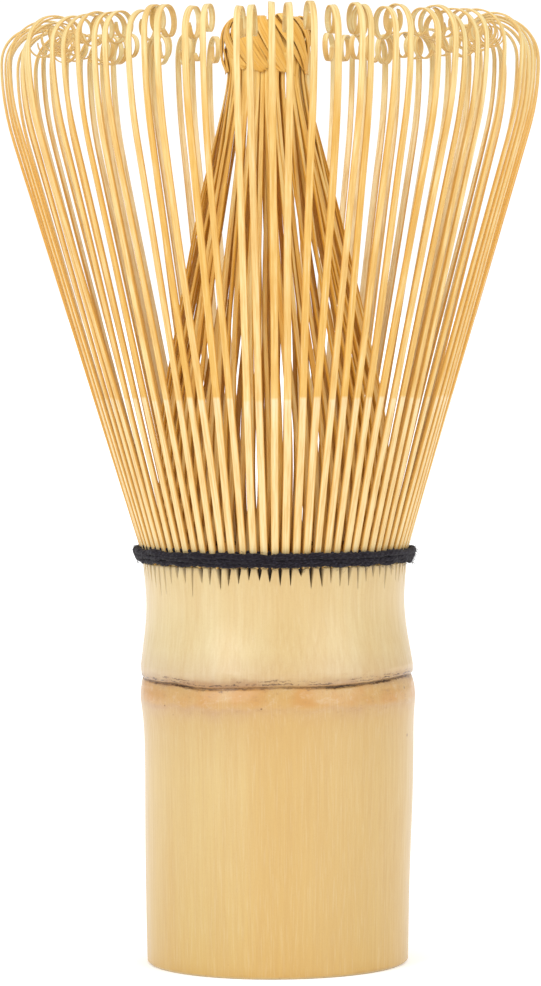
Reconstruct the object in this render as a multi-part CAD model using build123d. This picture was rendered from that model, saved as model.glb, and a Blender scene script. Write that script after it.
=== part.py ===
from build123d import *
import math
import os

# A bamboo tea whisk. One length of culm is its handle. Above the handle the culm's wall is split
# into sixteen sections, and each section into outer tines, which lean out and curl over at the top,
# and inner tines, which lean in and meet in a knot. A thread is laced between the two rings of
# tines and wound around the outside of them.
# Millimetres and degrees. The origin is the centre of the handle's cut foot, and +Z is its axis.

HEIGHT = 108.0
KNOT_TOP = 108.2

# ---- the tines' count ----
SECTIONS = 16
TINES_PER_SECTION = 5
TINES = SECTIONS * TINES_PER_SECTION
TINE_PITCH = 360 / TINES

# ---- handle: outer radii and the heights they stand at ----
FOOT_RADIUS = 14.9
FOOT_BEVEL = 0.3
BARREL_RADIUS, BARREL_HEIGHT = 15.35, 24.0
LOWER_BARREL_RADIUS, LOWER_BARREL_HEIGHT = 15.1, 10.0
RIDGE_RADIUS, RIDGE_HEIGHT = 15.65, 30.1
RIDGE_EDGE_RADIUS, RIDGE_EDGE_HEIGHT = 15.55, 31.8
GROOVE_RADIUS, GROOVE_HEIGHT = 15.2, 32.7
SHOULDER_RADIUS, SHOULDER_HEIGHT = 15.5, 33.7
FLARE_RADIUS, FLARE_HEIGHT = 15.2, 36.4
WAIST_RADIUS, WAIST_HEIGHT = 14.72, 41.2
CROWN_RADIUS, CROWN_HEIGHT = 15.0, 45.65

# ---- handle: the hollow below the node's diaphragm and the one above it ----
BORE_RADIUS = 12.0
BORE_WALL_TOP = 27.4
BORE_CROWN = 29.0
DIAPHRAGM_TOP = 31.6
UPPER_BORE_RADIUS = 12.3
UPPER_BORE_TOP = 38.0
CROWN_BORE_RADIUS = 13.9
CROWN_BORE_FOOT = 41.2

# ---- the saw cuts that part the outer tines, which run on a little way into the crown ----
SLIT_WIDTH = 0.25
SLIT_FOOT = 42.0

# ---- outer tines: a straight leaning blade, a slow bend to upright, an outer bend and a curl ----
OUTER_ROOT = (14.65, 45.85)
OUTER_LEAN = 16.7
OUTER_THICKNESS = 0.45
OUTER_ROOT_WIDTH = 0.85
OUTER_TIP_WIDTH = 0.72
OUTER_SIDE_RADIUS = 34.0
OUTER_BEND_RADIUS = 5.4
CURL_LEAD_RADIUS, CURL_LEAD_TURN = 4.0, 30.0
CURL_RADIUS, CURL_TURN = 1.4, 240.0

# ---- inner tines: two straight leaning stretches, an upright neck and a hook in the knot ----
INNER_ROOT = (13.6, 45.95)
INNER_LEAN = -3.5
INNER_THICKNESS = 0.3
INNER_ROOT_WIDTH = 0.5
INNER_TIP_WIDTH = 0.28
INNER_LOWER_LENGTH = 16.5
INNER_KNEE_RADIUS = 25.0
INNER_UPPER_LEAN = -12.6
INNER_NECK_RADIUS = 15.0
KNOT_RISE = 5.0
KNOT_HOOK_RADIUS = 0.35
KNOT_FALL = 5.7

# ---- thread ----
CORD_DIAMETER = 0.66
WRAPS = 3
WRAP_PITCH = 0.68
FIRST_WRAP_HEIGHT = 46.05
THREAD_CLEARANCE = 0.06
LACING_DIAMETER = 0.46
LACING_RADIUS = 14.24
LACING_HEIGHT = 46.85


def turned(heading):
    """The direction of a heading in the XZ plane, counted from +Z towards +X, and the inward normal."""
    a = math.radians(heading)
    return Vector(math.sin(a), 0, math.cos(a)), Vector(-math.cos(a), 0, math.sin(a))


def rail(root, heading, moves, offset):
    """One edge line of a bent strip: straight runs and tangent arcs, offset inward from its middle line.

    A move is (length, 0) for a run, or (radius, turn) for an arc, where a turn above 0 bends inward.
    """
    along, inward = turned(heading)
    here = Vector(root[0], 0, root[1]) + inward * offset
    edges = []
    for size, turn in moves:
        if turn == 0:
            there = here + along * size
            edges.append(Edge.make_line(here, there))
            here = there
            continue
        side = math.copysign(1, turn)
        radius = size - side * offset
        centre = here + inward * (side * radius)
        _, inward_halfway = turned(heading - turn / 2)
        heading -= turn
        along, inward = turned(heading)
        halfway = centre - inward_halfway * (side * radius)
        there = centre - inward * (side * radius)
        edges.append(Edge.make_three_point_arc(here, halfway, there))
        here = there
    return edges


def bent_strip(root, heading, moves, thickness, width):
    """A strip bent in the XZ plane along its moves, width wide across that plane."""
    inner = rail(root, heading, moves, thickness / 2)
    outer = rail(root, heading, moves, -thickness / 2)
    foot = Edge.make_line(inner[0] @ 0, outer[0] @ 0)
    tip = Edge.make_line(inner[-1] @ 1, outer[-1] @ 1)
    side = Face(Wire([*inner, tip, *outer, foot]))
    return extrude(side, amount=width / 2, dir=(0, 1, 0), both=True)


def narrowed(strip, root_height, root_width, tip_height, tip_width, reach):
    """A strip with its two flat sides planed, so that it narrows from root to tip height."""
    half_root, half_tip = root_width / 2, tip_width / 2
    low, high = root_height - 1, reach + 1
    front = Polyline(
        (0, -half_root, low),
        (0, half_root, low),
        (0, half_root, root_height),
        (0, half_tip, tip_height),
        (0, half_tip, high),
        (0, -half_tip, high),
        (0, -half_tip, tip_height),
        (0, -half_root, root_height),
        close=True,
    )
    return strip & extrude(Face(Wire(front.edges())), amount=2 * reach, dir=(1, 0, 0))


def blade_length(rise, lean):
    """How long a straight run at this lean must be to climb by rise."""
    return rise / math.cos(math.radians(lean))


def outer_tine():
    """One outer tine, in the XZ plane. Its bend reaches the object's full height."""
    side_rise = OUTER_SIDE_RADIUS * math.sin(math.radians(OUTER_LEAN))
    bend_rise = OUTER_BEND_RADIUS + OUTER_THICKNESS / 2
    blade = blade_length(HEIGHT - OUTER_ROOT[1] - side_rise - bend_rise, OUTER_LEAN)
    moves = [
        (blade, 0),
        (OUTER_SIDE_RADIUS, OUTER_LEAN),
        (OUTER_BEND_RADIUS, 90),
        (CURL_LEAD_RADIUS, CURL_LEAD_TURN),
        (CURL_RADIUS, CURL_TURN),
    ]
    strip = bent_strip(OUTER_ROOT, OUTER_LEAN, moves, OUTER_THICKNESS, OUTER_ROOT_WIDTH)
    return narrowed(strip, OUTER_ROOT[1], OUTER_ROOT_WIDTH, HEIGHT, OUTER_TIP_WIDTH, HEIGHT)


def inner_tine():
    """One inner tine, in the XZ plane, with its hook in the knot."""
    lower_rise = INNER_LOWER_LENGTH * math.cos(math.radians(INNER_LEAN))
    lean_sine, upper_lean_sine = math.sin(math.radians(INNER_LEAN)), math.sin(math.radians(INNER_UPPER_LEAN))
    knee_rise = INNER_KNEE_RADIUS * (lean_sine - upper_lean_sine)
    neck_rise = -INNER_NECK_RADIUS * upper_lean_sine
    knot_rise = KNOT_RISE + KNOT_HOOK_RADIUS + INNER_THICKNESS / 2
    upper_rise = KNOT_TOP - INNER_ROOT[1] - lower_rise - knee_rise - neck_rise - knot_rise
    moves = [
        (INNER_LOWER_LENGTH, 0),
        (INNER_KNEE_RADIUS, INNER_LEAN - INNER_UPPER_LEAN),
        (blade_length(upper_rise, INNER_UPPER_LEAN), 0),
        (INNER_NECK_RADIUS, INNER_UPPER_LEAN),
        (KNOT_RISE, 0),
        (KNOT_HOOK_RADIUS, -180),
        (KNOT_FALL, 0),
    ]
    strip = bent_strip(INNER_ROOT, INNER_LEAN, moves, INNER_THICKNESS, INNER_ROOT_WIDTH)
    narrow_from = KNOT_TOP - knot_rise - neck_rise
    return narrowed(strip, INNER_ROOT[1], INNER_ROOT_WIDTH, narrow_from, INNER_TIP_WIDTH, HEIGHT)


def section_of(tine, number):
    """The tines of one section, side by side about its middle, which is at a whole part of a turn."""
    first = number * 360 / SECTIONS - (TINES_PER_SECTION - 1) / 2 * TINE_PITCH
    return Compound([tine.rotate(Axis.Z, first + n * TINE_PITCH) for n in range(TINES_PER_SECTION)])


def handle():
    """The culm: open below, closed by the node's diaphragm, and slit at the crown."""
    foot = Edge.make_line((BORE_RADIUS, 0, 0), (FOOT_RADIUS - FOOT_BEVEL, 0, 0))
    bevel = Edge.make_line(foot @ 1, (FOOT_RADIUS, 0, FOOT_BEVEL))
    barrel = Edge.make_spline([
        bevel @ 1,
        Vector(LOWER_BARREL_RADIUS, 0, LOWER_BARREL_HEIGHT),
        Vector(BARREL_RADIUS, 0, BARREL_HEIGHT),
        Vector(RIDGE_RADIUS, 0, RIDGE_HEIGHT),
    ])
    node = Polyline(
        barrel @ 1,
        (RIDGE_EDGE_RADIUS, 0, RIDGE_EDGE_HEIGHT),
        (GROOVE_RADIUS, 0, GROOVE_HEIGHT),
        (SHOULDER_RADIUS, 0, SHOULDER_HEIGHT),
    )
    waist = Edge.make_spline([
        Vector(SHOULDER_RADIUS, 0, SHOULDER_HEIGHT),
        Vector(FLARE_RADIUS, 0, FLARE_HEIGHT),
        Vector(WAIST_RADIUS, 0, WAIST_HEIGHT),
    ])
    upper_hollow = Polyline(
        waist @ 1,
        (CROWN_RADIUS, 0, CROWN_HEIGHT),
        (CROWN_BORE_RADIUS, 0, CROWN_HEIGHT),
        (CROWN_BORE_RADIUS, 0, CROWN_BORE_FOOT),
        (UPPER_BORE_RADIUS, 0, UPPER_BORE_TOP),
        (UPPER_BORE_RADIUS, 0, DIAPHRAGM_TOP),
        (0, 0, DIAPHRAGM_TOP),
        (0, 0, BORE_CROWN),
    )
    dome_rise = BORE_CROWN - BORE_WALL_TOP
    dome_radius = (BORE_RADIUS**2 + dome_rise**2) / (2 * dome_rise)
    half = BORE_RADIUS / 2
    on_dome = BORE_CROWN - dome_radius + math.sqrt(dome_radius**2 - half**2)
    dome = Edge.make_three_point_arc((0, 0, BORE_CROWN), (half, 0, on_dome), (BORE_RADIUS, 0, BORE_WALL_TOP))
    bore = Edge.make_line(dome @ 1, foot @ 0)
    outline = Wire([foot, bevel, barrel, *node.edges(), waist, *upper_hollow.edges(), dome, bore])
    culm = revolve(Face(outline), Axis.Z, 360)
    height = CROWN_HEIGHT - SLIT_FOOT + 1
    slit = Pos((CROWN_RADIUS + CROWN_BORE_RADIUS) / 2, 0, SLIT_FOOT + height / 2) * Box(3, SLIT_WIDTH, height)
    slits = [slit.rotate(Axis.Z, (n + 0.5) * TINE_PITCH) for n in range(TINES)]
    return culm - slits


def binding_thread():
    """The turns of thread around the outside of the outer tines, each clear of the leaning blades."""
    slope = math.tan(math.radians(OUTER_LEAN))
    half_blade = OUTER_THICKNESS / 2 / math.cos(math.radians(OUTER_LEAN))
    turns = []
    for n in range(WRAPS):
        height = FIRST_WRAP_HEIGHT + n * WRAP_PITCH
        blade = OUTER_ROOT[0] + (height - OUTER_ROOT[1]) * slope + half_blade
        middle = blade + THREAD_CLEARANCE + CORD_DIAMETER / 2
        turns.append(Pos(0, 0, height) * Torus(middle, CORD_DIAMETER / 2))
    return Compound(turns)


def lacing_thread():
    """The turn of thread that parts the outer tines from the inner ones."""
    return Pos(0, 0, LACING_HEIGHT) * Torus(LACING_RADIUS, LACING_DIAMETER / 2)


def write(name, shape):
    """Writes one sub-part's STEP file."""
    export_step(shape, f"parts/{name}.step")


os.makedirs("parts", exist_ok=True)
write("handle", handle())
write("binding_thread", binding_thread())
write("lacing_thread", lacing_thread())
one_outer, one_inner = outer_tine(), inner_tine()
for number in range(SECTIONS):
    write(f"outer_tines_{number + 1:02d}", section_of(one_outer, number))
    write(f"inner_tines_{number + 1:02d}", section_of(one_inner, number))
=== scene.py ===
import math
import random

import bpy
import numpy as np
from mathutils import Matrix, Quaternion, Vector, noise


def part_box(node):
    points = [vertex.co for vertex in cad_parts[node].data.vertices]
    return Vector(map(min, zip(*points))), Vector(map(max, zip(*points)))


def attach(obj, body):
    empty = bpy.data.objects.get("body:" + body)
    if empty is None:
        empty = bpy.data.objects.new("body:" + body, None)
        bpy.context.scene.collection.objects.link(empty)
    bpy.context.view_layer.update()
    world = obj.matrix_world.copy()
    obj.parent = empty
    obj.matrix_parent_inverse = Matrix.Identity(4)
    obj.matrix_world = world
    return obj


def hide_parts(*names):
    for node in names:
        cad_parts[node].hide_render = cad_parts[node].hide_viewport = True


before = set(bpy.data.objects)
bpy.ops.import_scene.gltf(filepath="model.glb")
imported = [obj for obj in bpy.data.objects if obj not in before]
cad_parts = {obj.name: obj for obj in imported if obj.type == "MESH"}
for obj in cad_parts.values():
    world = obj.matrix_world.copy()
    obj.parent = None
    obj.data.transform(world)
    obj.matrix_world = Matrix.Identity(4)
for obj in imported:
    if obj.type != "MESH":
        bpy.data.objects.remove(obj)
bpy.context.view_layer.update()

# A bamboo tea whisk. The handle, the outer tines, the inner tines with their knot and the thread are
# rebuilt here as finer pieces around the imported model, each riding on the body of the node it stands for.
# Lengths in this file are millimetres, and angles degrees, until a mesh or light is made.

MM = 0.001


def box_mm(node):
    """A node's lowest and highest corners in millimetres."""
    low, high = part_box(node)
    return low / MM, high / MM


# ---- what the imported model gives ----
OUTER_NODES = sorted(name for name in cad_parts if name.startswith("outer_tines_"))
INNER_NODES = sorted(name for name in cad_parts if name.startswith("inner_tines_"))
SECTIONS = len(OUTER_NODES)
TINES_PER_SECTION = 5
TINES = SECTIONS * TINES_PER_SECTION
PITCH = 360 / TINES
# the first tine's azimuth: the middle one of the first section stands at +X
FIRST_AZIMUTH = -PITCH * (TINES_PER_SECTION - 1) / 2
TOP = box_mm(OUTER_NODES[0])[1].z
KNOT_TOP = box_mm(INNER_NODES[0])[1].z
CROWN = box_mm("handle")[1].z
THREAD_FOOT = box_mm("binding_thread")[0].z
THREAD_TOP = box_mm("binding_thread")[1].z
THREAD_RADIUS = box_mm("binding_thread")[1].x

# ---- handle: (height, radius) of the skin, foot to crown ----
SKIN = (
    (0.3, 14.9), (5.0, 15.0), (10.0, 15.1), (18.0, 15.28), (24.0, 15.36), (27.5, 15.44),
    (29.1, 15.56), (30.2, 15.67), (31.2, 15.64), (32.0, 15.5), (32.7, 15.34), (33.2, 15.47),
    (34.0, 15.53), (35.0, 15.40), (36.4, 15.2), (38.8, 14.87), (41.2, 14.72), (43.5, 14.82),
    (45.65, 15.0), (46.0, 15.02),
)
SEAM = 32.7
# the seam's rise and its crack's strength round the culm, by degrees anticlockwise from the front
SEAM_RISE = (
    (-180, 0.1), (-120, 0.2), (-80, 0.05), (-48, 0.0), (-36, -0.4), (-20, -0.2), (0, 0.0), (25, -0.18),
    (45, 0.1), (65, 0.38), (100, 0.3), (140, 0.0), (180, 0.1),
)
CRACK = (
    (-180, 0.5), (-100, 0.45), (-60, 0.6), (-40, 0.9), (-28, 0.5), (-10, 0.4), (12, 0.5), (25, 0.9),
    (45, 1.0), (60, 0.85), (78, 0.4), (120, 0.5), (180, 0.5),
)
# how mellow the skin's tone is, by the same degrees
MELLOW = (
    (-180, 0.15), (-60, 0.1), (-45, 0.04), (-28, 0.0), (-18, 0.1), (-9, 0.36), (3, 0.42),
    (12, 0.36), (22, 0.22), (45, 0.15), (70, 0.12), (120, 0.3), (180, 0.15),
)
# the skin's tone by height, foot to crown
TONES = (
    (0.0, "C69C4E"), (0.35, "D3AB5A"), (1.5, "D7B367"), (5.0, "D9B870"), (12.0, "DCBC78"),
    (22.0, "DEC07F"), (26.5, "D9B97A"), (28.4, "D5B375"), (29.6, "CFAA75"), (30.2, "C89F71"),
    (30.6, "D1A566"), (31.3, "CFA05E"), (32.3, "CCA264"), (32.8, "B58C60"), (33.3, "CCAF86"),
    (34.2, "DAC298"), (36.4, "E3CE9C"), (39.0, "E5CF9A"), (42.5, "E5CC95"), (45.65, "E2C88E"),
)
# heights where a tone fades in, is full from and to, and fades out: around the node, on the ridge below
# the seam, and along the ridge's lower border
NODE_BAND = (28.8, 30.4, 33.2, 34.6)
RIDGE_BAND = (30.2, 30.7, 32.5, 32.9)
SPECK_BAND = (28.9, 29.8, 30.2, 31.0)
# the seam's dark lines: rise above the seam, half width, the noise it breaks off below, strength and
# seed. The first is whole, and follows the crack
SEAM_LINES = (
    (0.0, 0.17, -1.0, 1.0, 0.0),
    (0.4, 0.1, 0.44, 0.85, 13.0),
    (0.72, 0.09, 0.5, 0.7, 29.0),
    (-0.24, 0.08, 0.52, 0.6, 47.0),
)
# how far aside the barrel stands, at which height, and how far up and down that reaches
BARREL_ASIDE, BARREL_MIDDLE, BARREL_REACH = 0.34, 24.0, 11.5
BORE_RADIUS = 12.0
FOOT_BEVEL = 0.3
# the crown runs on to here, behind the thread
RIM = CROWN + 0.3
CROWN_RADIUS = 15.0
# the seam's groove and the lip above it
GROOVE_DEPTH, LIP_HEIGHT, LIP_ABOVE = 0.34, 0.10, 0.3

# ---- the saw slits below the thread, one between each two outer tines ----
LOWEST_SLIT_FOOT, HIGHEST_SLIT_FOOT, USUAL_SLIT_FOOT = 42.2, 45.2, 44.0
# narrowest and widest at the crown, and how far aside each may run for a millimetre of height
SLIT_WIDTHS = (0.3, 0.62)
SLIT_SLANT = 0.07
SLIT_DEPTH = 0.8
# the handle's columns of points for each slit, and which two of them are its floor
COLUMNS_PER_SLIT = 7
SLIT_FLOOR = (2, 3)

# ---- outer tines ----
OUTER_ROOT = (14.65, 45.85)
OUTER_LEAN = 16.7
# the tines lean a little less than the CAD's, and vary by group and by tine
TINE_LEAN = OUTER_LEAN - 0.4
GROUP_LEAN_SCATTER, OWN_LEAN_SCATTER = 0.28, 0.14
# how a section's tines stand together: each number is a group
GROUPINGS = (
    (0, 0, 0, 1, 1), (0, 0, 1, 1, 1), (0, 0, 1, 2, 2), (0, 1, 1, 2, 2), (0, 0, 1, 1, 2),
)
# the straight blade's length, which outer_line then corrects
OUTER_BLADE = 49.0
OUTER_SIDE_RADIUS = 28.0
# a tighter bend leaves more of the height to the side's curve, which opens this much for a millimetre
SIDE_OPENING = 6.8
# the bend over the top is wide at the whisk's two sides and tight in front and behind
TIGHT_BEND_RADIUS, WIDE_BEND_RADIUS = 2.5, 4.3
CURL_LEAD_RADIUS, CURL_LEAD_TURN = 4.0, 13.0
CURL_RADIUS = 1.55
CURL_TURNS = (220, 330)
# at the whisk's two sides the curl's lead turns further, and the curl is tighter
SIDE_LEAD_TURN, SIDE_CURL_TIGHTER = 14, 0.15
# how far the tines' tops stand below the object's: all of them, by chance, and towards -X
TOP_GAP, TOP_SCATTER, LOW_SIDE_DROP = 0.25, 0.9, 0.8
SHAVED_FROM = 64.75

# ---- thread: its rise for each millimetre towards +X ----
THREAD_TILT = -0.012
# from the outer tines' middle to their face, and the least radius the thread lies on
BLADE_FACE = 0.24
CROWN_FACE = 15.03

# ---- inner tines: radius and height of the line they share, root to knot ----
INNER_ROOT = (13.6, 45.95)
INNER_KNEE = (12.55, 62.5)
KNOT_NECK = (4.65, 99.5)
KNOT_RADIUS = 5.0
KNOT_ASIDE = -0.5
# how high the strands end on the knot's side, and how far round it they slant
KNOT_FOOT = 101.6
KNOT_WRAP, KNOT_WRAP_SCATTER = 38, 6
BUNDLES = 10
STRANDS_PER_BUNDLE = TINES // BUNDLES
# the places in each bundle of the strands that close the knot's top
CAPPING = (1, 6)

# the spacing of the fine steps that a tine's line is walked in
STEP = 0.05

# ---- studio ----
# how much brighter than its own colour a surface looks, and the same for the tines' shaded pith sides
# and for their curls: these are lower, so both are painted brighter, as painted light against their shade
STUDIO = 1.4
PITH_LIGHT = 1.15
CREST_LIGHT = 1.25
# where the camera stands and aims, its turn about its line of sight, and its lens
CAMERA_AT = (-0.43, -502.0, 74.3)
CAMERA_AIM = (-0.43, 0.0, 53.7)
CAMERA_ROLL = -0.42
LENS = 160.5
# the white world's strength as a light and as the backdrop that the camera sees
WORLD_LIGHT, BACKDROP = 0.75, 1.1
# half the floor's side, in metres
FLOOR_REACH = 60.0


# ======== curves and meshes

def unit(vectors):
    """Vectors scaled to length one, row by row."""
    return vectors / np.linalg.norm(vectors, axis=-1, keepdims=True)


def eased(x, low, high):
    """0 below low, 1 above high, and a smooth rise between them."""
    t = np.clip((x - low) / (high - low), 0, 1)
    return t * t * (3 - 2 * t)


def radial(azimuth):
    """The directions outward and sideways (anticlockwise from above) at an azimuth."""
    a = math.radians(azimuth)
    return np.array([math.cos(a), math.sin(a), 0.0]), np.array([-math.sin(a), math.cos(a), 0.0])


def spline(knots, x):
    """Smooth interpolation through (x, y) knots, with slopes from the neighbouring knots."""
    kx, ky = np.array(knots, float).T
    slopes = np.gradient(ky, kx)
    i = np.clip(np.searchsorted(kx, x) - 1, 0, len(kx) - 2)
    gap = kx[i + 1] - kx[i]
    t = (x - kx[i]) / gap
    return (
        (1 + 2 * t) * (1 - t) ** 2 * ky[i]
        + t * (1 - t) ** 2 * gap * slopes[i]
        + t * t * (3 - 2 * t) * ky[i + 1]
        + t * t * (t - 1) * gap * slopes[i + 1]
    )


def walked(root, heading, moves, blur):
    """Fine steps along runs and arcs in the radius and height plane, each change of bend eased over blur.

    A move is (length, turn), and a turn above 0 bends inward. Returns distance, bend, radius and height.
    """
    bend = np.concatenate([
        np.full(max(1, round(length / STEP)), math.radians(turn) / length) for length, turn in moves
    ])
    width = round(blur / STEP)
    padded = np.pad(bend, width, mode="edge")
    bend = np.convolve(padded, np.ones(width) / width, mode="same")[width:-width]
    headings = math.radians(heading) - np.cumsum(bend) * STEP
    distance = np.arange(1, len(bend) + 1) * STEP
    radius = root[0] + np.cumsum(np.sin(headings)) * STEP
    height = root[1] + np.cumsum(np.cos(headings)) * STEP
    return distance, bend, radius, height


def stations(distance, bend, longest, sharpest):
    """Where rings go on a walked line: at most longest apart, and turning at most sharpest between two."""
    count = np.cumsum(1 / longest + np.abs(bend) / math.radians(sharpest)) * STEP
    return np.interp(np.linspace(count[0], count[-1], math.ceil(count[-1]) + 1), count, distance)


def through(knots, spacing):
    """A smooth line through points in space, sampled at an even spacing (Catmull-Rom)."""
    points = np.array(knots, float)
    points = np.vstack([2 * points[0] - points[1], points, 2 * points[-1] - points[-2]])
    t = np.linspace(0, 1, 40, endpoint=False)[:, None]
    pieces = []
    for a, b, c, d in zip(points, points[1:], points[2:], points[3:]):
        pieces.append(0.5 * (
            2 * b + (c - a) * t + (2 * a - 5 * b + 4 * c - d) * t**2 + (3 * b - a - 3 * c + d) * t**3
        ))
    line = np.vstack([*pieces, points[-2:-1]])
    along = np.concatenate([[0], np.cumsum(np.linalg.norm(np.diff(line, axis=0), axis=1))])
    even = np.linspace(0, along[-1], max(2, round(along[-1] / spacing)) + 1)
    return np.column_stack([np.interp(even, along, line[:, axis]) for axis in range(3)]), even


def slab(width, thickness):
    """A strip's section: a flat rectangle with rounded corners, as (across, thick) points."""
    corner = min(width, thickness) * 0.3
    x, y = width / 2, thickness / 2
    cut = corner * 0.3
    quarter = [(x, y - corner), (x - cut, y - cut), (x - corner, y)]
    mirrored = [(-px, py) for px, py in reversed(quarter)]
    return np.array(quarter + mirrored + [(-px, -py) for px, py in quarter + mirrored])


def rounded(radius, corners):
    """A round section."""
    a = np.linspace(0, 2 * math.pi, corners, endpoint=False)
    return np.column_stack([np.cos(a), np.sin(a)]) * radius


def tube_faces(rings, corners):
    """The faces of a tube of rings: its two ends, then its sides."""
    faces = [list(range(corners)), [(rings - 1) * corners + k for k in reversed(range(corners))]]
    for i in range(rings - 1):
        for k in range(corners):
            a, b = i * corners + k, i * corners + (k + 1) % corners
            faces.append([a, a + corners, b + corners, b])
    return faces


class Shape:
    """The vertices, faces and per-vertex values of one piece, gathered part by part."""

    def __init__(self):
        self.points, self.faces, self.count = [], [], 0
        self.values = {"fibre": [], "tint": [], "shaded_flank": []}

    def add(self, points, faces, fibre, tint, shaded_flank=0.0):
        """Adds one part. fibre is its own (across, thick, along) place, and tint its own random number.

        shaded_flank is 1 on the split sides of a strip, where the tines' paint puts painted shade.
        """
        self.faces += [[v + self.count for v in face] for face in faces]
        self.points.append(points)
        self.values["fibre"].append(fibre)
        self.values["tint"].append(np.full(len(points), tint))
        self.values["shaded_flank"].append(np.full(len(points), shaded_flank))
        self.count += len(points)

    def strip(self, centres, sides, sections, along, tint, slant=0.0):
        """Adds a closed strip or cord: one section at each centre, spread along its side and its normal.

        slant is how far its far end is cut aslant.
        """
        tangents = unit(np.gradient(centres, axis=0))
        sides = unit(sides - np.sum(sides * tangents, axis=1, keepdims=True) * tangents)
        normals = np.cross(sides, tangents)
        rings, corners = len(centres), len(sections[0])
        sections = np.array(sections)
        points = (
            centres[:, None] + sides[:, None] * sections[:, :, :1] + normals[:, None] * sections[:, :, 1:]
        )
        aslant = (slant * eased(along, along[-1] - 0.6, along[-1]))[:, None] * sections[:, :, 0]
        points = (points + tangents[:, None] * aslant[:, :, None]).reshape(-1, 3)
        run = np.repeat(along, corners)[:, None]
        fibre = np.hstack([sections.reshape(-1, 2), run])
        across = np.abs(sections[:, :, 0])
        shaded_flank = across > 0.85 * across.max(axis=1, keepdims=True)
        self.add(points, tube_faces(rings, corners), fibre, tint, shaded_flank.ravel())

    def piece(self, name, body, slot, material, *nodes, **extra):
        """Makes the Blender object, on its body, in place of the CAD nodes that it stands for."""
        mesh = bpy.data.meshes.new(name)
        mesh.from_pydata((np.vstack(self.points) * MM).tolist(), [], self.faces)
        mesh.shade_smooth()
        layers = {key: np.concatenate(value) for key, value in self.values.items()}
        for key, value in {**layers, **extra}.items():
            kind, field = ("FLOAT_VECTOR", "vector") if np.ndim(value) == 2 else ("FLOAT", "value")
            layer = mesh.attributes.new(key, kind, "POINT")
            layer.data.foreach_set(field, np.ravel(value).astype(np.float32))
        mesh.materials.append(material)
        made = bpy.data.objects.new(name, mesh)
        bpy.context.scene.collection.objects.link(made)
        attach(made, body)
        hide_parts(*nodes)
        return made


# ======== materials

def tint(code, light=STUDIO):
    """The colour that looks like a hexadecimal sRGB code in the studio's light."""
    parts = [int(code[i:i + 2], 16) / 255 for i in (0, 2, 4)]
    linear = [((p + 0.055) / 1.055) ** 2.4 if p > 0.04045 else p / 12.92 for p in parts]
    return (*[x / light for x in linear], 1.0)


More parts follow.
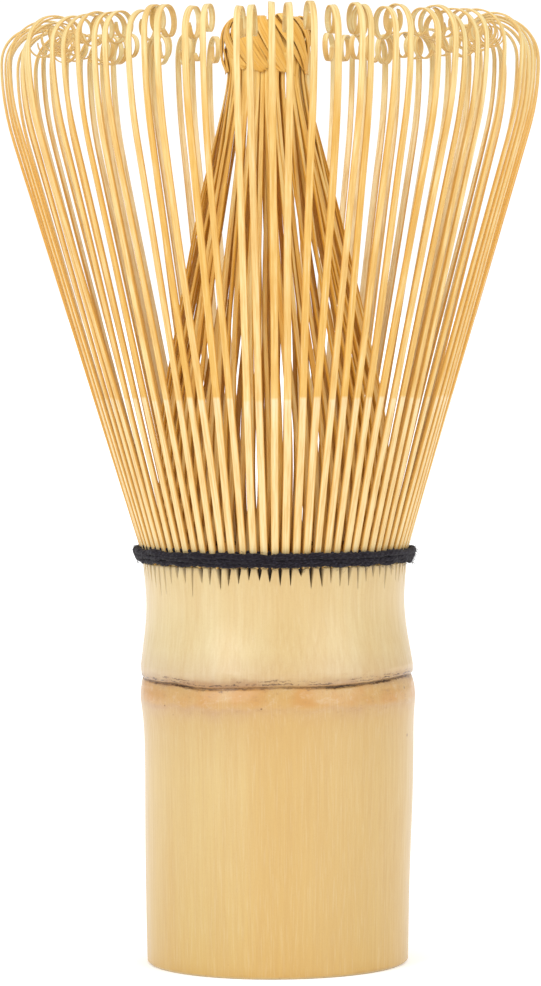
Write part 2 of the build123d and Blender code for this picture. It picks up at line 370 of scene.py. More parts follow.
class Paint:
    """A procedural material. Each method adds a node and returns its output socket."""

    def __init__(self, name, **fixed):
        self.material = bpy.data.materials.new(name)
        self.material.use_nodes = True
        self.tree = self.material.node_tree
        self.tree.nodes.clear()
        self.surface = self.add("ShaderNodeBsdfPrincipled", **fixed)
        result = self.add("ShaderNodeOutputMaterial")
        self.tree.links.new(self.surface.outputs[0], result.inputs["Surface"])

    def add(self, kind, settings=None, **inputs):
        """Adds a node. Each input is a socket to link or a value to set; underscores stand for spaces."""
        node = self.tree.nodes.new(kind)
        for key, value in (settings or {}).items():
            setattr(node, key, value)
        for key, value in inputs.items():
            self.put(node.inputs[key.replace("_", " ")], value)
        return node

    def put(self, socket, value):
        """Links a socket, or sets it."""
        if isinstance(value, bpy.types.NodeSocket):
            self.tree.links.new(value, socket)
        else:
            socket.default_value = value

    def attribute(self, name, output="Fac"):
        """One of the mesh's own values."""
        return self.add("ShaderNodeAttribute", {"attribute_name": name}).outputs[output]

    def place(self):
        """The point on the object, in millimetres."""
        where = self.add("ShaderNodeTexCoord").outputs["Object"]
        return self.stretched(where, (1 / MM, 1 / MM, 1 / MM))

    def vector_calc(self, operation, a, b):
        """A sum or product of two points, axis by axis."""
        node = self.add("ShaderNodeVectorMath", {"operation": operation})
        self.put(node.inputs[0], a)
        self.put(node.inputs[1], b)
        return node.outputs[0]

    def stretched(self, vector, by):
        """A point with its axes multiplied, so that a pattern runs along the least of them."""
        return self.vector_calc("MULTIPLY", vector, by)

    def shifted(self, vector, by):
        """A point moved, so that a pattern starts elsewhere."""
        return self.vector_calc("ADD", vector, by)

    def height_of(self, vector):
        """A point's height."""
        return self.add("ShaderNodeSeparateXYZ", Vector=vector).outputs["Z"]

    def noise(self, vector, scale, detail=3.0, roughness=0.55):
        """Smooth noise, about 0.3 to 0.7, with scale features to a millimetre."""
        node = self.add("ShaderNodeTexNoise", Vector=vector, Scale=scale, Detail=detail, Roughness=roughness)
        return node.outputs[0]

    def cells(self, vector, scale, output="Distance"):
        """Random cells: the distance to the nearest one's middle, or its colour."""
        return self.add("ShaderNodeTexVoronoi", Vector=vector, Scale=scale).outputs[output]

    def calc(self, operation, a, b, clamp=False):
        """Arithmetic on two values."""
        node = self.add("ShaderNodeMath", {"operation": operation, "use_clamp": clamp})
        self.put(node.inputs[0], a)
        self.put(node.inputs[1], b)
        return node.outputs[0]

    def span(self, value, low, high, to_low=0.0, to_high=1.0):
        """A value's place between low and high, as a place between to_low and to_high."""
        return self.add(
            "ShaderNodeMapRange", Value=value, From_Min=low, From_Max=high, To_Min=to_low, To_Max=to_high,
        ).outputs[0]

    def band(self, value, low, full_from, full_to, high):
        """1 from full_from to full_to, fading to 0 at low and at high."""
        return self.calc("MULTIPLY", self.span(value, low, full_from), self.span(value, high, full_to))

    def spots(self, vector, scale, edge, core, channel, chosen):
        """Spots in the middles of some random cells: those with enough of the channel in their colour."""
        colour = self.add("ShaderNodeSeparateColor", Color=self.cells(vector, scale, "Color"))
        picked = self.span(colour.outputs[channel], *chosen)
        return self.calc("MULTIPLY", self.span(self.cells(vector, scale), edge, core), picked)

    def ramp(self, value, stops):
        """Colours at rising positions from 0 to 1."""
        node = self.add("ShaderNodeValToRGB", Fac=value)
        marks = node.color_ramp.elements
        while len(marks) < len(stops):
            marks.new(0.5)
        for mark, (position, code) in zip(marks, stops):
            mark.position = position
            mark.color = tint(code)
        return node.outputs[0]

    def mixed(self, share, a, b):
        """Colour a with a share of colour b."""
        node = self.add("ShaderNodeMix", {"data_type": "RGBA"})
        self.put(node.inputs[0], share)
        self.put(node.inputs[6], a)
        self.put(node.inputs[7], b)
        return node.outputs[2]

    def finish(self, colour, roughness, height, distance, strength=1.0):
        """Joins colour, roughness and relief to the surface. distance is the relief's depth."""
        self.put(self.surface.inputs["Base Color"], colour)
        self.put(self.surface.inputs["Roughness"], roughness)
        bump = self.add("ShaderNodeBump", Height=height, Distance=distance * MM, Strength=strength)
        self.put(self.surface.inputs["Normal"], bump.outputs[0])
        return self.material


def culm_paint():
    """The handle: waxy skin with upright fibres, a toned band at the node, dark seam, pores and cut ends."""
    paint = Paint("bamboo_culm", IOR=1.45, Coat_Weight=0.42, Coat_Roughness=0.22)
    place = paint.place()
    height = paint.height_of(place)
    streaks = paint.noise(paint.stretched(place, (1.0, 1.0, 0.03)), 2.6, 4.0)
    broad = paint.noise(paint.stretched(place, (1.0, 1.0, 0.08)), 0.2, 3.0)
    patches = paint.noise(place, 0.4, 4.0)
    # the skin's tones, their borders moved a little by the patches
    uneven = paint.calc("ADD", height, paint.span(patches, 0.3, 0.7, -0.35, 0.35))
    skin = paint.ramp(paint.span(uneven, 0.0, CROWN), [(z / CROWN, code) for z, code in TONES])
    mellow = paint.calc("MULTIPLY", paint.attribute("mellow"), paint.span(height, 31.0, 29.0, 0.25, 1.0))
    skin = paint.mixed(mellow, skin, tint("D6A656"))
    skin = paint.mixed(paint.span(broad, 0.38, 0.6, 0.0, 0.4), skin, tint("D3AA60"))
    skin = paint.mixed(paint.span(streaks, 0.34, 0.6, 0.2, 0.0), skin, tint("C39554"))
    fine = paint.noise(paint.stretched(place, (1.0, 1.0, 0.04)), 7.0, 3.0)
    skin = paint.mixed(paint.span(fine, 0.5, 0.72, 0.0, 0.15), skin, tint("F0E0BD"))
    speckle = paint.noise(place, 5.0, 4.0, 0.7)
    skin = paint.mixed(paint.span(speckle, 0.5, 0.72, 0.0, 0.16), skin, tint("BE9354"))
    # the ridge below the seam: orange patches, pale scuffs and the specks along its lower border
    ridge = paint.band(height, *RIDGE_BAND)
    rust = paint.noise(paint.stretched(place, (1.0, 1.0, 0.7)), 0.28, 2.0)
    rusty = paint.calc("MULTIPLY", ridge, paint.span(rust, 0.44, 0.6, 0.0, 0.75))
    skin = paint.mixed(rusty, skin, tint("CD9345"))
    near_node = paint.band(height, *NODE_BAND)
    scuffs = paint.noise(paint.stretched(place, (1.0, 1.0, 1.8)), 0.7, 6.0, 0.75)
    scuffed = paint.calc("MULTIPLY", near_node, paint.span(scuffs, 0.54, 0.66, 0.0, 0.35))
    skin = paint.mixed(scuffed, skin, tint("DEC4A0"))
    browned = paint.calc("MULTIPLY", near_node, paint.span(scuffs, 0.44, 0.34, 0.0, 0.5))
    skin = paint.mixed(browned, skin, tint("AD7F4E"))
    specks = paint.spots(place, 1.1, edge=0.16, core=0.08, channel=1, chosen=(0.84, 0.9))
    skin = paint.mixed(paint.calc("MULTIPLY", paint.band(height, *SPECK_BAND), specks), skin, tint("845C35"))
    # the seam: a stain just above it, and broken dark lines that wander about it
    wander = paint.span(paint.noise(place, 0.9, 4.0, 0.7), 0.0, 1.0, -0.42, 0.42)
    jitter = paint.span(paint.noise(place, 5.0, 3.0, 0.6), 0.0, 1.0, -0.12, 0.12)
    above = paint.calc("ADD", paint.attribute("above_seam"), paint.calc("ADD", wander, jitter))
    stain = paint.band(above, -0.35, 0.0, 0.25, 1.15)
    stain = paint.calc("MULTIPLY", stain, paint.span(paint.noise(place, 0.35, 2.0), 0.38, 0.62, 0.2, 0.75))
    skin = paint.mixed(stain, skin, tint("A67A50"))
    crack = paint.attribute("crack")
    for rise, half, gap_from, strength, seed in SEAM_LINES:
        away = paint.calc("ABSOLUTE", paint.calc("SUBTRACT", above, rise), 0.0)
        line = paint.span(away, half, half * 0.25)
        broken = paint.noise(paint.shifted(place, (seed, 0.0, seed)), 0.75, 4.0, 0.65)
        line = paint.calc("MULTIPLY", line, paint.span(broken, gap_from, gap_from + 0.1, 0.0, strength))
        if rise == 0.0:
            varied = paint.calc("ADD", crack, paint.span(broken, 0.3, 0.7, -0.35, 0.35))
            line = paint.calc("MULTIPLY", line, varied, True)
        skin = paint.mixed(line, skin, tint("47280F"))
    # scattered pores: small brown spots, in a few of the cells
    pores = paint.spots(place, 0.2, edge=0.05, core=0.025, channel=0, chosen=(0.66, 0.76))
    skin = paint.mixed(paint.calc("MULTIPLY", pores, 0.8), skin, tint("886539"))
    # the slits' walls painted dark brown: painted shade in the narrow cuts
    skin = paint.mixed(paint.attribute("slit"), skin, tint("2A1404"))
    # inside the hollow the wall is dull and pale, and cut ends show the dots of the fibres
    inner = paint.mixed(paint.span(streaks, 0.3, 0.7), tint("CAAC76"), tint("DEC799"))
    dots = paint.span(paint.cells(paint.stretched(place, (1.0, 1.0, 0.3)), 2.4), 0.28, 0.12)
    end = paint.mixed(paint.calc("MULTIPLY", dots, 0.6), tint("D8BC84"), tint("A0753F"))
    colour = paint.mixed(paint.attribute("inside"), skin, inner)
    colour = paint.mixed(paint.attribute("cut_end"), colour, end)
    duller_inside = paint.span(paint.attribute("inside"), 0, 1, 0, 0.25)
    roughness = paint.calc("ADD", paint.span(streaks, 0.3, 0.7, 0.5, 0.38), duller_inside)
    relief = paint.calc("ADD", streaks, paint.calc("MULTIPLY", fine, 0.5))
    relief = paint.calc("ADD", relief, paint.calc("MULTIPLY", paint.calc("MULTIPLY", near_node, scuffs), 2.0))
    return paint.finish(colour, roughness, relief, 0.03, 0.5)


def tine_paint(name, low, high, dark, pale, shaded_flank, lit_pith, lit_crest, shaved, shaved_share):
    """Split bamboo: tone by tine, fibres along it, and a paler stretch below the height it is shaved from.

    Each colour is a hexadecimal code, and shaved_share is how strongly the paler stretch shows.
    """
    paint = Paint(name, IOR=1.45, Specular_IOR_Level=0.14)
    own = paint.attribute("tint")
    # each tine takes its fibres from another place in the noise
    offset = paint.add(
        "ShaderNodeCombineXYZ",
        X=paint.calc("MULTIPLY", own, 37.0), Y=own, Z=paint.calc("MULTIPLY", own, 91.0),
    )
    fibre = paint.shifted(paint.attribute("fibre", "Vector"), offset.outputs[0])
    height = paint.height_of(paint.place())
    streaks = paint.noise(paint.stretched(fibre, (1.0, 1.0, 0.05)), 5.0, 4.0)
    broad = paint.noise(paint.stretched(fibre, (1.0, 1.0, 0.5)), 0.3, 3.0)
    colour = paint.mixed(own, tint(low), tint(high))
    colour = paint.mixed(paint.span(broad, 0.4, 0.62, 0.0, 0.3), colour, tint(dark))
    # the side towards the whisk's middle is pith, and paler: partly the pith's own paler colour,
    # partly painted light that brightens the rear tines' shaded inner faces
    thick = paint.add("ShaderNodeSeparateXYZ", Vector=paint.attribute("fibre", "Vector")).outputs["Y"]
    colour = paint.mixed(paint.span(thick, 0.0, -0.05, 0.0, 0.8), colour, tint(lit_pith, PITH_LIGHT))
    # the curls at the top: partly their own colour, partly painted light, made brighter against the other
    # tines' shade
    colour = paint.mixed(paint.span(height, 95.0, 103.0, 0.0, 0.75), colour, tint(lit_crest, CREST_LIGHT))
    # just below the step where the shaving starts the tine is palest, and it mellows towards the root
    step = paint.calc("ADD", height, paint.span(own, 0.0, 1.0, -0.25, 0.25))
    below = paint.span(step, SHAVED_FROM + 0.15, SHAVED_FROM - 0.15, 0.0, shaved_share)
    colour = paint.mixed(below, colour, tint(shaved))
    bare = paint.calc("MULTIPLY", below, paint.span(step, SHAVED_FROM - 2.5, SHAVED_FROM, 0.0, 0.4))
    colour = paint.mixed(bare, colour, tint("FFF0CE"))
    colour = paint.mixed(paint.span(streaks, 0.54, 0.36, 0.0, 0.5), colour, tint(dark))
    colour = paint.mixed(paint.span(streaks, 0.56, 0.74, 0.0, 0.5), colour, tint(pale))
    # the split sides are painted darker and more orange than the skin: painted shade for the deep gaps
    # between the strips, less so near the top, where the tine is thin
    sides = paint.calc("MULTIPLY", paint.attribute("shaded_flank"), paint.span(height, 90.0, 101.0, 0.9, 0.4))
    colour = paint.mixed(sides, colour, tint(shaded_flank))
    roughness = paint.span(streaks, 0.3, 0.7, 0.5, 0.36)
    return paint.finish(colour, roughness, streaks, 0.02, 0.5)


def thread_paint():
    """Dark navy thread: fibres across each ply, with painted highlights, and soft sheen."""
    paint = Paint("navy_thread", Sheen_Weight=0.08, Sheen_Roughness=0.5, Specular_IOR_Level=0.15)
    place = paint.place()
    fibre = paint.attribute("fibre", "Vector")
    fluff = paint.noise(place, 6.0, 5.0, 0.7)
    hairs = paint.noise(paint.stretched(fibre, (1.0, 1.0, 0.35)), 9.0, 3.0)
    colour = paint.mixed(paint.span(fluff, 0.35, 0.7), tint("0A0409"), tint("221A24"))
    # pale grey-blue streaks along the fibres: partly paler fibres, partly painted highlights
    colour = paint.mixed(paint.span(hairs, 0.5, 0.75, 0.0, 0.55), colour, tint("50505F"))
    relief = paint.calc("ADD", hairs, fluff)
    return paint.finish(colour, paint.span(fluff, 0.3, 0.7, 0.95, 0.75), relief, 0.06, 0.9)


def floor_paint():
    """A plain white studio floor, with the faintest mottle."""
    paint = Paint("studio_floor", Emission_Color=(1.0, 1.0, 1.0, 1.0), Emission_Strength=0.15)
    place = paint.add("ShaderNodeTexCoord").outputs["Object"]
    cloud = paint.noise(place, 3.0, 2.0)
    colour = paint.mixed(cloud, tint("FAFAFA", 1.0), tint("FDFDFD", 1.0))
    return paint.finish(colour, 0.9, cloud, 0.01, 0.1)


# ======== the handle

def around(azimuths, waves, seed):
    """A random value from -1 to 1 that wanders round the culm and meets itself, with about waves rises."""
    reach = waves / (2 * math.pi)
    return np.array([
        noise.noise(Vector((math.cos(a) * reach, math.sin(a) * reach, seed))) for a in np.radians(azimuths)
    ])


def slit_columns(height):
    """For each slit, the azimuths of its columns of points at this height, and how open it is there."""
    slits = random.Random(11)
    rows = []
    for n in range(TINES):
        foot = slits.triangular(LOWEST_SLIT_FOOT, HIGHEST_SLIT_FOOT, USUAL_SLIT_FOOT)
        widest = slits.uniform(*SLIT_WIDTHS)
        slant = slits.uniform(-SLIT_SLANT, SLIT_SLANT)
        share = min(1.0, max(0.0, (height - foot) / (CROWN - foot)))
        half = widest / 2 * share
        middle = (n + 0.5) * PITCH
        # the columns stand upright on the barrel, and take up the slits' slant towards the crown
        shift = slant * (height - CROWN) * float(eased(height, 38, 43))
        wide, inner, land = half + 0.03, half * 0.55 + 0.012, half + 0.13
        offsets = [-land, -wide, -inner, inner, wide, land]
        spread = [middle + math.degrees((shift + x) / CROWN_RADIUS) for x in offsets]
        rows.append((spread + [middle + PITCH / 2], share))
    return rows


def culm_rows():
    """The culm's rows as (radius, height, kind): diaphragm's top, crown, skin, foot, and the bore's wall.

    The skin's radii vary round the culm, so skin_radii gives them.
    """
    hollow = [
        (0.25, 31.6), (3.0, 31.6), (7.0, 31.62), (11.0, 31.65), (12.0, 31.8), (12.3, 32.3), (12.3, 35.0),
        (12.3, 38.0), (13.0, 39.4), (13.7, 40.7), (13.9, 41.3), (13.9, 43.5), (13.9, RIM - 0.08),
        (13.98, RIM),
    ]
    crown = [(14.5, RIM)]
    # the skin's rows of points stand closest at the seam and at the slits
    skin_heights = np.concatenate([
        np.arange(RIM, 42.3, -0.2),
        np.arange(42.2, 38.3, -0.55),
        np.arange(38, 34.4, -0.4),
        np.arange(34.3, 31.85, -0.07),
        np.arange(31.8, 29.5, -0.2),
        np.arange(29.4, 25.2, -0.5),
        np.arange(25, 1.5, -1.25),
        [1.2, 0.8, 0.5, FOOT_BEVEL],
    ])
    foot = [(14.78, 0.12), (14.6, 0.0), (13.6, 0.0), (12.4, 0.0), (12.1, 0.05), (BORE_RADIUS, 0.2)]
    bore = [(BORE_RADIUS, z) for z in (2.0, 8.0, 16.0, 24.0, 26.6)]
    dome = [(11.85, 27.2), (11.2, 27.65), (9.0, 28.2), (6.0, 28.65), (3.0, 28.93), (0.25, 29.0)]
    rows = [(r, z, "hollow") for r, z in hollow] + [(r, z, "end") for r, z in crown]
    rows += [(0.0, z, "skin") for z in skin_heights]
    rows += [(r, z, "end") for r, z in foot] + [(r, z, "hollow") for r, z in bore + dome]
    return rows


def skin_radii(azimuths, height, seam, crack):
    """The skin's radii round the culm at one height."""
    near = math.exp(-(((height - SEAM) / 1.8) ** 2))
    radii = spline(SKIN, np.clip(height - (seam - SEAM) * near, FOOT_BEVEL, RIM))
    # a little out of round, with slow and fine unevenness
    radii += 0.06 * np.cos(np.radians(2 * azimuths + 40))
    radii += 0.03 * around(azimuths, 16, height * 0.02) + 0.02 * around(azimuths, 60, height * 0.06)
    groove = np.exp(-(((height - seam) / (0.07 + 0.07 * crack)) ** 2)) * crack
    lip = np.exp(-(((height - seam - LIP_ABOVE) / 0.2) ** 2)) * crack
    rough = 0.06 * around(azimuths, 45, height * 0.9) * near
    return radii + (LIP_HEIGHT * lip - GROOVE_DEPTH * groove + rough)


def handle_shape():
    """The culm as one closed grid, and the values that tell its paint the skin, seam, slits and ends."""
    rows = culm_rows()
    nominal = np.concatenate([spread for spread, _ in slit_columns(0)])
    count = len(nominal)
    from_front = (nominal + 90 + 180) % 360 - 180
    seam = SEAM + np.interp(from_front, *np.array(SEAM_RISE).T) + 0.08 * around(nominal, 40, 8.4)
    crack = np.clip(np.interp(from_front, *np.array(CRACK).T) + 0.35 * around(nominal, 24, 5.7), 0.1, 1)
    mellow = np.interp(from_front, *np.array(MELLOW).T)
    points = []
    layers = {"above_seam": [], "crack": [], "mellow": [], "slit": [], "inside": [], "cut_end": []}
    for radius, height, kind in rows:
        columns = slit_columns(height)
        azimuths = np.concatenate([spread for spread, _ in columns])
        radii = np.full(count, radius)
        slit = np.zeros(count)
        if kind == "skin":
            radii = skin_radii(azimuths, height, seam, crack)
            for n, (_, share) in enumerate(columns):
                first = n * COLUMNS_PER_SLIT
                floor = slice(first + SLIT_FLOOR[0], first + SLIT_FLOOR[1] + 1)
                radii[floor] -= SLIT_DEPTH * eased(share, 0.0, 0.25)
                slit[floor] = eased(share, 0.0, 0.1)
        a = np.radians(azimuths)
        aside = BARREL_ASIDE * math.exp(-(((height - BARREL_MIDDLE) / BARREL_REACH) ** 2)) * (kind == "skin")
        ring = [radii * np.cos(a) + aside, radii * np.sin(a), np.full(count, height)]
        points.append(np.column_stack(ring))
        values = {
            "above_seam": height - seam if kind == "skin" else np.full(count, CROWN),
            "crack": crack,
            "mellow": mellow,
            "slit": slit,
            "inside": np.full(count, float(kind == "hollow")),
            "cut_end": np.full(count, float(kind == "end")),
        }
        for key, value in values.items():
            layers[key].append(value)

    shape = Shape()
    points = np.vstack(points)
    shape.add(points, tube_faces(len(rows), count), points, 0.5)
    return shape, {key: np.concatenate(value) for key, value in layers.items()}


# ======== the tines

def outer_line(own, lean, azimuth):
    """One outer tine's line, found again until its top stands just under the object's.

    The bend is widest towards +X and -X, and the top is lowest towards -X.
    """
    towards_x = math.cos(math.radians(azimuth))
    spread = towards_x**4
    bend = (TIGHT_BEND_RADIUS + (WIDE_BEND_RADIUS - TIGHT_BEND_RADIUS) * spread) * own.uniform(0.86, 1.14)
    side = (OUTER_SIDE_RADIUS + SIDE_OPENING * (WIDE_BEND_RADIUS - bend)) * own.uniform(0.93, 1.1)
    lead_turn = (CURL_LEAD_TURN + SIDE_LEAD_TURN * spread) * own.uniform(0.5, 1.5)
    curl = (CURL_RADIUS - SIDE_CURL_TIGHTER * spread) * own.uniform(0.86, 1.12)
    curl_turn = own.uniform(*CURL_TURNS)
    top = TOP - TOP_GAP - own.triangular(0, TOP_SCATTER, 0.1) - LOW_SIDE_DROP * max(0, -towards_x) ** 5
    blade = OUTER_BLADE
    for _ in range(2):
        moves = [
            (blade, 0),
            (side * math.radians(lean), lean),
            (bend * math.pi / 2, 90),
            (CURL_LEAD_RADIUS * math.radians(lead_turn), lead_turn),
            (curl * math.radians(curl_turn), curl_turn),
        ]
        distance, turning, radius, height = walked(OUTER_ROOT, lean, moves, 2.0)
        blade += (top - height.max()) / math.cos(math.radians(lean))
    return distance, turning, radius, height, distance[-1] - moves[3][0] - moves[4][0]


def outer_tine(shape, section, place):
    """Adds one outer tine. place is 0 to 4 across its section, and 0 and 4 stand next to another section."""
    number = section * TINES_PER_SECTION + place
    own, shared = random.Random(100 + number), random.Random(50 + section)
    # the section's tines stand in two or three groups, and those of a group lean together
    groups = shared.choice(GROUPINGS)
    leans = [shared.gauss(0, GROUP_LEAN_SCATTER) for _ in range(3)]
    sways = [shared.uniform(0, 0.6), shared.uniform(-0.4, 0.4), shared.uniform(0, 0.6)]
    group = groups[place]
    members = [p for p in range(TINES_PER_SECTION) if groups[p] == group]
    lean = TINE_LEAN + leans[group] + own.gauss(0, OWN_LEAN_SCATTER)
    azimuth = number * PITCH + FIRST_AZIMUTH
    distance, turning, radius, height, curl_from = outer_line(own, lean, azimuth)
    at = stations(distance, turning, 2.4, 9)
    r, z = np.interp(at, distance, radius), np.interp(at, distance, height)
    end = at[-1]
    # sideways: together with its group, which never leaves its own section
    together = math.radians((sum(members) / len(members) - place) * PITCH) * own.uniform(0.1, 0.5)
    sway = sways[group] + own.uniform(-0.2, 0.2)
    drift = own.uniform(-0.3, 0.3)
    if TINES_PER_SECTION - 1 in members:
        sway = -abs(sway)
        drift = -abs(drift)
    elif 0 in members:
        sway = abs(sway)
        drift = abs(drift)
    ripple = 0.08 * np.sin(at / own.uniform(9, 14) + own.uniform(0, 6)) * eased(at, 4, 20)
    sideways = (sway + together * r) * eased(at, 6, 52) + drift * eased(at, curl_from - 1, end) + ripple
    outward, side = radial(azimuth + own.gauss(0, 0.12))
    centres = r[:, None] * outward + sideways[:, None] * side + z[:, None] * np.array([0, 0, 1.0])
    blade_twist = own.uniform(-9, 9) * eased(at, 10, 70)
    curl_twist = own.uniform(-5, 5) * eased(at, curl_from, end)
    twist = np.radians(blade_twist + curl_twist)
    tangents = unit(np.gradient(centres, axis=0))
    square = np.cross(np.broadcast_to(side, centres.shape), tangents)
    sides = np.cos(twist)[:, None] * side + np.sin(twist)[:, None] * square
    # width and thickness by the distance along the tine
    widths = np.interp(at, [0, 18, 50, 62, end], [0.86, 0.84, 0.78, 0.72, 0.64]) * own.uniform(0.92, 1.06)
    widths = widths * (1 - 0.35 * eased(at, end - 0.5, end))
    thicknesses = np.interp(at, [0, 18, 50, 66, end], [0.42, 0.37, 0.3, 0.19, 0.13]) * own.uniform(0.9, 1.1)
    sections = [slab(w, t) for w, t in zip(widths, thicknesses)]
    shape.strip(centres, sides, sections, at, own.random())


def inner_tine(shape, number):
    """Adds one inner tine: up inside the outer ones, in to the knot's neck and over its edge.

    Most then slant down the knot's side, and two in each bundle close its top.
    """
    own = random.Random(900 + number)
    bundle, place = divmod(number, STRANDS_PER_BUNDLE)
    shared = random.Random(70 + bundle)
    layer, bundle_layer = number % 2, bundle % 2
    azimuth = number * PITCH + FIRST_AZIMUTH + own.gauss(0, 0.5)
    between = PITCH / 2
    wander, drift = own.gauss(0, 0.9), own.gauss(0, 4.0)
    neck_inset = 0.36 * layer
    bow = own.uniform(-0.9, 0.35)
    # where it lies in its bundle, from -1 to 1: the middle ones stand out and rise highest in the knot
    within = (place + 0.5) / STRANDS_PER_BUNDLE * 2 - 1
    inset = 0.3 * bundle_layer + 0.1 * layer + 0.5 * within**2
    skin = KNOT_RADIUS + 0.1 - 0.75 * inset + shared.uniform(-0.1, 0.1)
    fold = KNOT_TOP - 0.1 - shared.uniform(0.0, 0.3) - 0.2 * bundle_layer - 0.5 * within**2
    wrap = shared.gauss(KNOT_WRAP, KNOT_WRAP_SCATTER) + own.gauss(0, 1.2)
    fall = KNOT_FOOT + shared.uniform(-0.3, 0.5) + own.uniform(-0.25, 0.25)
    gather = -within * 180 / BUNDLES
    low_lean = (INNER_KNEE[0] - INNER_ROOT[0]) / (INNER_KNEE[1] - INNER_ROOT[1])
    # the line's points, as (radius, degrees round from its own azimuth, height)
    knots = [
        (INNER_ROOT[0], 0, INNER_ROOT[1]),
        (INNER_ROOT[0] + low_lean * 8, between + 0.1 * wander, INNER_ROOT[1] + 8),
        (INNER_KNEE[0] + bow * 0.4, between + 0.4 * wander, INNER_KNEE[1]),
        (INNER_KNEE[0] - 2.45 + bow, 0.9 * wander + 0.1 * drift, INNER_KNEE[1] + 12),
        (KNOT_NECK[0] + 2.75 + bow - neck_inset, wander + 0.5 * drift, KNOT_NECK[1] - 12.5),
        (KNOT_NECK[0] - neck_inset, wander + drift, KNOT_NECK[1]),
        (KNOT_RADIUS - 0.35 - 0.45 * inset, wander + 0.6 * drift + 2, KNOT_NECK[1] + 4),
    ]
    if place in CAPPING:
        # over the knot's top, in a whorl that ends somewhere near its middle
        reach = own.uniform(0.5, 2.2)
        knots += [
            (KNOT_RADIUS - 1.2, wander + 4, fold - 1.2),
            (KNOT_RADIUS - 1.9, wander + 12, fold - 0.35),
            (0.5 * (KNOT_RADIUS - 1.9 + reach), wander + 32, fold - 0.2 - 0.1 * layer),
            (reach, wander + 66, fold - 0.3 - 0.15 * layer),
        ]
    else:
        knots += [
            (KNOT_RADIUS - 1.0 - 0.4 * inset, wander + 0.3 * drift + 2, fold - 1.7),
            (KNOT_RADIUS - 1.6 - 0.2 * inset, 0.5 * wander + 1, fold - 0.4),
            (KNOT_RADIUS - 1.1 - 0.5 * inset, 0.5 * wander + 2, fold),
            (skin - 0.5, 0.4 * wander + 3 + 0.1 * gather, fold - 0.45),
            (skin + 0.02, 0.3 * wander + 4 + wrap * 0.15 + 0.12 * gather, fold - 1.6),
            (skin + 0.1, 0.3 * wander + 3 + wrap * 0.4 + 0.18 * gather, fold * 0.5 + fall * 0.5),
            (skin - 0.05, 0.3 * wander + 3 + wrap * 0.7 + 0.3 * gather, fold * 0.22 + fall * 0.78),
            (KNOT_NECK[0] + 0.05, 0.3 * wander + 3 + wrap + 0.6 * gather, fall),
        ]
    points = []
    for r, turn, z in knots:
        outward, _ = radial(azimuth + turn)
        aside = KNOT_ASIDE * float(eased(z, INNER_KNEE[1], KNOT_NECK[1]))
        points.append(outward * r + np.array([aside, 0, z]))
    line, along = through(points, 0.4)
    # the knot needs every point, and the cone below it one in five
    keep = np.concatenate([np.arange(0, 130, 5), np.arange(130, len(line) - 1), [len(line) - 1]])
    line, along = line[keep], along[keep]
    sides = unit(np.column_stack([-line[:, 1], line[:, 0] - KNOT_ASIDE, np.zeros(len(line))]))
    end = along[-1]
    twist = np.radians(own.uniform(-38, 38)) * eased(along, 6, 24) * (1 - eased(along, 42, 52))
    normals = np.cross(sides, unit(np.gradient(line, axis=0)))
    sides = np.cos(twist)[:, None] * sides + np.sin(twist)[:, None] * normals
    widths = np.interp(along, [0, 20, 40, 53, end - 8, end - 6, end], [0.6, 0.6, 0.54, 0.44, 0.5, 0.7, 0.54])
    widths = widths * own.uniform(0.88, 1.12)
    thicknesses = np.interp(along, [0, 30, end - 9, end], [0.3, 0.26, 0.15, 0.12])
    sections = [slab(w, t) for w, t in zip(widths, thicknesses)]
    shape.strip(line, sides, sections, along, own.random(), own.uniform(0.3, 1.1))


# ======== the thread

def band_radius(height):
    """The radius that the thread lies on: the outer tines' faces, or the crown where it is wider."""
    lean = math.tan(math.radians(OUTER_LEAN))
    return np.maximum(OUTER_ROOT[0] + BLADE_FACE + (height - OUTER_ROOT[1]) * lean, CROWN_FACE)


def plied(radius, twist, plies, corners):
    """A thread's section: plies side by side, turned by twist."""
    a = np.linspace(0, 2 * math.pi, corners, endpoint=False)
    bumps = radius * (0.76 + 0.24 * np.abs(np.cos(plies * (a - twist) / 2)))
    return np.column_stack([np.cos(a) * bumps, np.sin(a) * bumps])


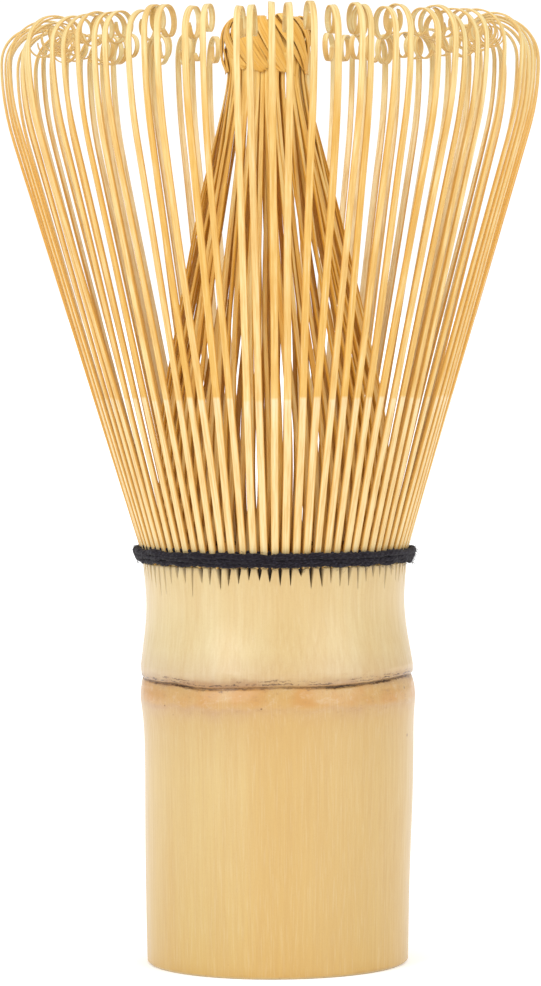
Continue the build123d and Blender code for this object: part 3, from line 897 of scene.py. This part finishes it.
def wound_thread():
    """The thread's turns around the outer tines, one over another, with its fuzz."""
    shape = Shape()
    own = random.Random(5)
    # the thread's turns, half its thickness, its length in which a ply goes round once, and its hairs
    turns, half, lay, hairs = 3.25, 0.35, 2.6, 1500
    spacing, usual_radius = 0.16, 15.5
    length = turns * 2 * math.pi * usual_radius
    count = round(length / spacing)
    turn = np.linspace(0, turns, count)
    angle = 2 * math.pi * turn
    climb = (THREAD_TOP - THREAD_FOOT - 2 * half) / (turns - 0.25)
    slow = np.array([noise.noise(Vector((t * 14, 2.5, 0))) for t in turn])
    quick = np.array([noise.noise(Vector((t * 60, 9.5, 0))) for t in turn])
    wobble = slow + 1.6 * quick
    lowest, highest = THREAD_FOOT + half, THREAD_TOP - half
    height = np.clip(lowest + climb * (turn - 0.12), lowest, highest) + 0.12 * wobble
    height += THREAD_TILT * THREAD_RADIUS * np.cos(angle)
    along = turn / turns * length
    ends = eased(along, 0, 0.6) * eased(along, length, length - 0.6)
    lumps = 1.08 + 0.3 * np.array([noise.noise(Vector((t * 60, 0, 7))) for t in turn])
    thick = half * lumps * (0.35 + 0.65 * ends)
    # room for the tines, which lean out a little above the hinge as they flex
    room = 0.05 + 0.12 * eased(height, 46.2, 47.4)
    r = band_radius(height) + np.maximum(thick, half) + room + 0.04 * np.abs(wobble)
    centres = np.column_stack([r * np.cos(angle), r * np.sin(angle), height])
    sides = np.column_stack([np.cos(angle), np.sin(angle), np.zeros(count)])
    sections = [plied(t, s * 2 * math.pi / lay, 3, 15) for t, s in zip(thick, along)]
    shape.strip(centres, sides, sections, along, 0.5)
    # loose hairs all round, and a tuft of longer ones at the thread's end
    for _ in range(hairs):
        tuft = own.random() < 0.04
        a = math.radians(own.uniform(-4, 9) if tuft else own.uniform(0, 360))
        out = np.array([math.cos(a), math.sin(a), 0])
        z = own.uniform(THREAD_FOOT + 0.05, THREAD_TOP) + THREAD_TILT * THREAD_RADIUS * out[0]
        reach = own.uniform(0.7, 1.3) if tuft else own.uniform(0.25, 0.6)
        lift = own.uniform(0.15, 0.6) if tuft else abs(own.gauss(0, 0.09)) + 0.03
        root = out * (band_radius(z) + 2 * half - 0.06) + np.array([0, 0, z])
        lean = unit(np.array([
            -math.sin(a) * own.choice((-1, 1)),
            math.cos(a) * own.choice((-1, 1)),
            own.gauss(0, 0.7),
        ]))
        tip = root + lean * reach + out * lift * own.uniform(0.2, 1.4)
        knots = [root, root + lean * reach * 0.5 + out * lift, tip]
        line, run = through(knots, reach / 5)
        hair = own.uniform(0.010, 0.018)
        across = np.broadcast_to(out, line.shape) + 0.01
        shape.strip(line, across, [rounded(hair, 3)] * len(line), run, own.random())
    return shape


def lacing():
    """The thread laced in and out behind the outer tines: it comes forward and up in each gap between two."""
    shape = Shape()
    own = random.Random(8)
    # points to a gap, half its thickness, and its length in which a ply goes round once
    per_gap, half, lay = 14, 0.25, 1.9
    # its depth behind the tines' faces and below the thread's top, and how far it comes forward and up
    behind, below, comes_forward, comes_up = 0.72, 0.55, 0.62, 0.6
    count = TINES * per_gap
    phase = np.arange(count + 1) / per_gap
    angle = np.radians((phase + 0.5) * PITCH + FIRST_AZIMUTH)
    lift = np.repeat([own.uniform(0.55, 1.0) for _ in range(TINES)], per_gap)
    lift = np.append(lift, lift[0])
    forward = (0.5 + 0.5 * np.cos(2 * math.pi * phase)) ** 2
    tilt = THREAD_TILT * THREAD_RADIUS * np.cos(angle)
    height = THREAD_TOP - below + comes_up * forward * lift + tilt
    r = band_radius(height) - behind + comes_forward * forward
    centres = np.column_stack([r * np.cos(angle), r * np.sin(angle), height])
    sides = np.column_stack([np.cos(angle), np.sin(angle), np.zeros(len(angle))])
    along = np.concatenate([[0], np.cumsum(np.linalg.norm(np.diff(centres, axis=0), axis=1))])
    thick = half - 0.06 * forward
    sections = [plied(t, s * 2 * math.pi / lay, 3, 9) for t, s in zip(thick, along)]
    shape.strip(centres, sides, sections, along, 0.4)
    return shape


# ======== camera, light and floor

def studio():
    """A white floor under even white light, with a soft key from the upper left, and the camera in front."""
    scene = bpy.context.scene
    scene.view_settings.view_transform = "Standard"
    world = bpy.data.worlds.new("studio")
    world.use_nodes = True
    tree = world.node_tree
    backdrop = tree.nodes["Background"]
    backdrop.inputs["Color"].default_value = (1.0, 1.0, 1.0, 1.0)
    ray = tree.nodes.new("ShaderNodeLightPath")
    strength = tree.nodes.new("ShaderNodeMapRange")
    strength.inputs["To Min"].default_value = WORLD_LIGHT
    strength.inputs["To Max"].default_value = BACKDROP
    tree.links.new(ray.outputs["Is Camera Ray"], strength.inputs["Value"])
    tree.links.new(strength.outputs[0], backdrop.inputs["Strength"])
    scene.world = world

    lens = bpy.data.cameras.new("camera")
    lens.sensor_width = 36.0
    lens.lens = LENS
    lens.clip_start, lens.clip_end = 0.01, 200.0
    camera = bpy.data.objects.new("camera", lens)
    scene.collection.objects.link(camera)
    camera.location = Vector(CAMERA_AT) * MM
    target = Vector(CAMERA_AIM) * MM
    camera.rotation_mode = "QUATERNION"
    aim = (target - camera.location).to_track_quat("-Z", "Y")
    camera.rotation_quaternion = aim @ Quaternion((0, 0, 1), math.radians(CAMERA_ROLL))
    scene.camera = camera

    # each lamp's side, its strength and how many degrees it spreads over
    for name, towards, strength, spread in (
        ("key", (-0.75, -0.75, 0.5), 1.5, 40),
        ("fill", (0.8, -0.7, 0.45), 1.15, 50),
        ("top", (0.1, 0.3, 1.0), 0.8, 90),
    ):
        lamp = bpy.data.lights.new(name, "SUN")
        lamp.energy = strength
        lamp.angle = math.radians(spread)
        lit = bpy.data.objects.new(name, lamp)
        scene.collection.objects.link(lit)
        lit.rotation_mode = "QUATERNION"
        lit.rotation_quaternion = Vector(towards).to_track_quat("Z", "Y")

    mesh = bpy.data.meshes.new("floor")
    corners = [(x * FLOOR_REACH, y * FLOOR_REACH, 0) for x, y in ((-1, -1), (1, -1), (1, 1), (-1, 1))]
    mesh.from_pydata(corners, [], [(0, 1, 2, 3)])
    mesh.materials.append(floor_paint())
    floor = bpy.data.objects.new("floor", mesh)
    scene.collection.objects.link(floor)


# ======== the whole whisk

studio()

culm, layers = handle_shape()
culm.piece("whisk_handle", "culm", "bamboo_skin", culm_paint(), "handle", **layers)

outer_paint = tine_paint(
    "outer_tine", low="F2C46E", high="FFE2A0", dark="DCA045", pale="FFF2CC", shaded_flank="EEB254", lit_pith="FFE9B8",
    lit_crest="EDDB9F", shaved="FCE0A4", shaved_share=0.85,
)
inner_paint = tine_paint(
    "inner_tine", low="F6BE5C", high="FFE096", dark="DA8E26", pale="FFECB8", shaded_flank="E6A436", lit_pith="EEB45C",
    lit_crest="F4CC74", shaved="F2C478", shaved_share=0.2,
)
for n in range(SECTIONS):
    blades = Shape()
    strands = Shape()
    for k in range(TINES_PER_SECTION):
        outer_tine(blades, n, k)
        inner_tine(strands, n * TINES_PER_SECTION + k)
    number = f"{n + 1:02d}"
    blades.piece(
        f"whisk_blades_{number}", f"outer_section_{number}", "outer_tine_bamboo", outer_paint,
        f"outer_tines_{number}",
    )
    strands.piece(
        f"whisk_strands_{number}", "inner_bunch", "inner_tine_bamboo", inner_paint, f"inner_tines_{number}",
    )

thread = thread_paint()
wound_thread().piece("thread_turns", "culm", "thread", thread, "binding_thread")
lacing().piece("thread_lacing", "culm", "thread", thread, "lacing_thread")
